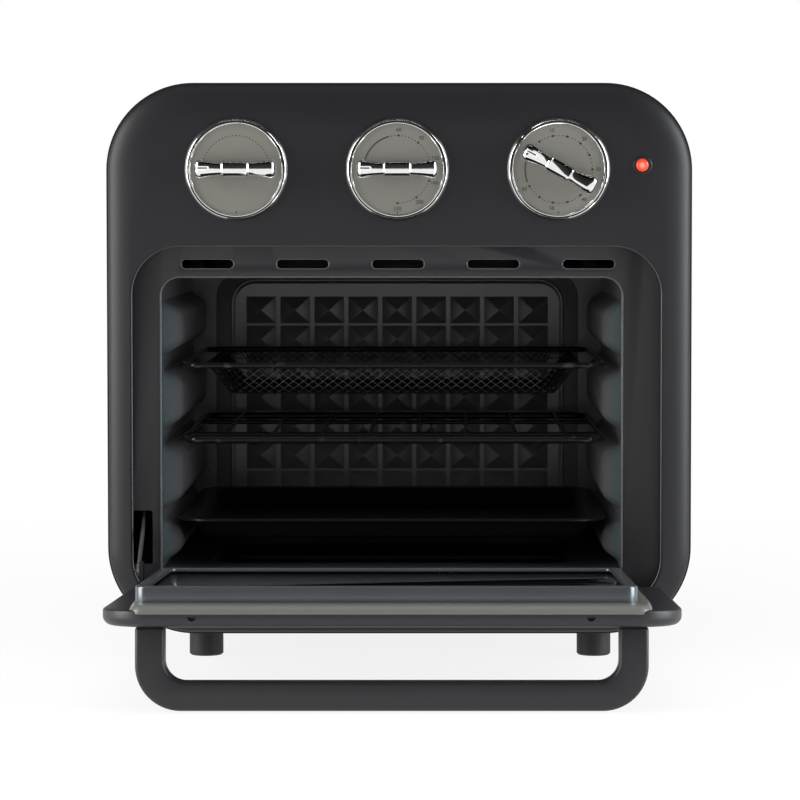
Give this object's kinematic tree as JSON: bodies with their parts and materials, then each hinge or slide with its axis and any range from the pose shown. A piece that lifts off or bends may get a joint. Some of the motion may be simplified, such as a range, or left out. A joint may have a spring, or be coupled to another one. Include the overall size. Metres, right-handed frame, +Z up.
{
  "type": "mini oven",
  "caption": "Countertop mini oven with a drop-down glass door, loop handle, round dials, a lamp, a wire rack, a mesh basket and a tray.",
  "frame": {"origin": "bottom centre of the whole box, with the door open as in the picture", "axes": "+Z up, the front with the door and dials faces -Y, +X to the viewer's right"},
  "size_m": [0.37, 0.5491, 0.366],
  "materials": {
    "case_paint": "satin dark grey paint",
    "fascia": "satin dark grey",
    "front_plate": "satin dark grey paint",
    "cavity_steel": "dull coated steel",
    "zinc_steel": "zinc plated",
    "gland_rubber": "matt",
    "foot_plastic": "matt",
    "dial_chrome": "polished",
    "dial_face": "satin",
    "control_plastic": "matt",
    "thermostat_steel": "satin",
    "bell_brass": "satin",
    "lamp_amber": "clear amber, lit",
    "heater_steel": "matt",
    "insulator_ceramic": "matt",
    "motor_steel": "satin",
    "fan_aluminium": "satin",
    "wire_steel": "plated wire",
    "net_steel": "black coating",
    "tray_enamel": "black enamel",
    "door_plastic": "satin dark grey",
    "glass_frame_metal": "blue-grey satin",
    "door_glass": "clear tinted"
  },
  "bodies": {
    "oven_body": {"outer_shell": "case_paint", "front_fascia": "fascia", "inner_front_plate": "front_plate", "cavity_left_wall": "cavity_steel", "cavity_right_wall": "cavity_steel", "cavity_ceiling": "cavity_steel", "cavity_floor": "cavity_steel", "cavity_back": "cavity_steel", "rear_cover": "case_paint", "cover_screws": "zinc_steel", "cord_gland": "gland_rubber", "base_plate": "case_paint", "feet": "foot_plastic", "foot_screws": "zinc_steel", "function_dial_ring": "dial_chrome", "function_dial": "dial_face", "temperature_dial_ring": "dial_chrome", "temperature_dial": "dial_face", "timer_dial_ring": "dial_chrome", "timer_dial": "dial_face", "selector_switch": "control_plastic", "thermostat": "thermostat_steel", "thermostat_bulb": "thermostat_steel", "timer_unit": "control_plastic", "timer_bell": "bell_brass", "lamp_bezel": "dial_chrome", "lamp_lens": "lamp_amber", "lamp_body": "control_plastic", "upper_front_heater": "heater_steel", "upper_rear_heater": "heater_steel", "lower_front_heater": "heater_steel", "lower_rear_heater": "heater_steel", "heater_insulators": "insulator_ceramic", "fan_motor": "motor_steel", "motor_bracket": "zinc_steel", "fan_guard": "wire_steel", "terminal_block": "control_plastic", "hinge_brackets": "zinc_steel", "lever_spring": "zinc_steel"},
    "door": {"door_panel": "door_plastic", "door_glass_frame": "glass_frame_metal", "door_inner_glass": "door_glass", "door_outer_glass": "door_glass", "door_handle": "door_plastic", "handle_screws": "zinc_steel", "hinge_pins": "zinc_steel", "lever_lug": "zinc_steel"},
    "hinge_lever": {"hinge_lever": "zinc_steel"},
    "function_control": {"function_knob": "dial_chrome", "function_shaft": "zinc_steel"},
    "temperature_control": {"temperature_knob": "dial_chrome", "temperature_shaft": "zinc_steel"},
    "timer_control": {"timer_knob": "dial_chrome", "timer_shaft": "zinc_steel"},
    "fan": {"fan_wheel": "fan_aluminium", "fan_shaft": "zinc_steel"},
    "basket": {"basket_rim": "wire_steel", "basket_net": "net_steel"},
    "rack": {"wire_rack": "wire_steel"},
    "tray": {"bake_tray": "tray_enamel"}
  },
  "joints": [
    {"name": "door_hinge", "type": "hinge", "parent": "oven_body", "child": "door", "pos_m": [-0.0017, -0.05482, 0.043], "axis": [1, 0, 0], "range_deg": [-87, 0], "deforming": ["lever_spring"]},
    {"name": "lever_pivot", "type": "hinge", "parent": "door", "child": "hinge_lever", "pos_m": [-0.16285, -0.08202, 0.0615], "axis": [1, 0, 0], "range_deg": [0, 87]},
    {"name": "function_turn", "type": "hinge", "parent": "oven_body", "child": "function_control", "pos_m": [-0.1023, -0.06002, 0.3114], "axis": [0, 1, 0], "range_deg": [0, 180]},
    {"name": "temperature_turn", "type": "hinge", "parent": "oven_body", "child": "temperature_control", "pos_m": [-0.001, -0.06002, 0.3114], "axis": [0, 1, 0], "range_deg": [0, 270]},
    {"name": "timer_turn", "type": "hinge", "parent": "oven_body", "child": "timer_control", "pos_m": [0.1003, -0.06002, 0.3114], "axis": [0, 1, 0], "range_deg": [-28, 292]},
    {"name": "fan_spin", "type": "hinge", "parent": "oven_body", "child": "fan", "pos_m": [-0.005, 0.08998, 0.265], "axis": [0, 0, 1], "continuous": true},
    {"name": "basket_slide", "type": "slide", "parent": "oven_body", "child": "basket", "axis": [0, -1, 0], "range_m": [0, 0.2]},
    {"name": "rack_slide", "type": "slide", "parent": "oven_body", "child": "rack", "axis": [0, -1, 0], "range_m": [0, 0.2]},
    {"name": "tray_slide", "type": "slide", "parent": "oven_body", "child": "tray", "axis": [0, -1, 0], "range_m": [0, 0.2]}
  ],
  "couplings": [
    {"joint": "lever_pivot", "follows": "door_hinge", "ratio": -1}
  ]
}
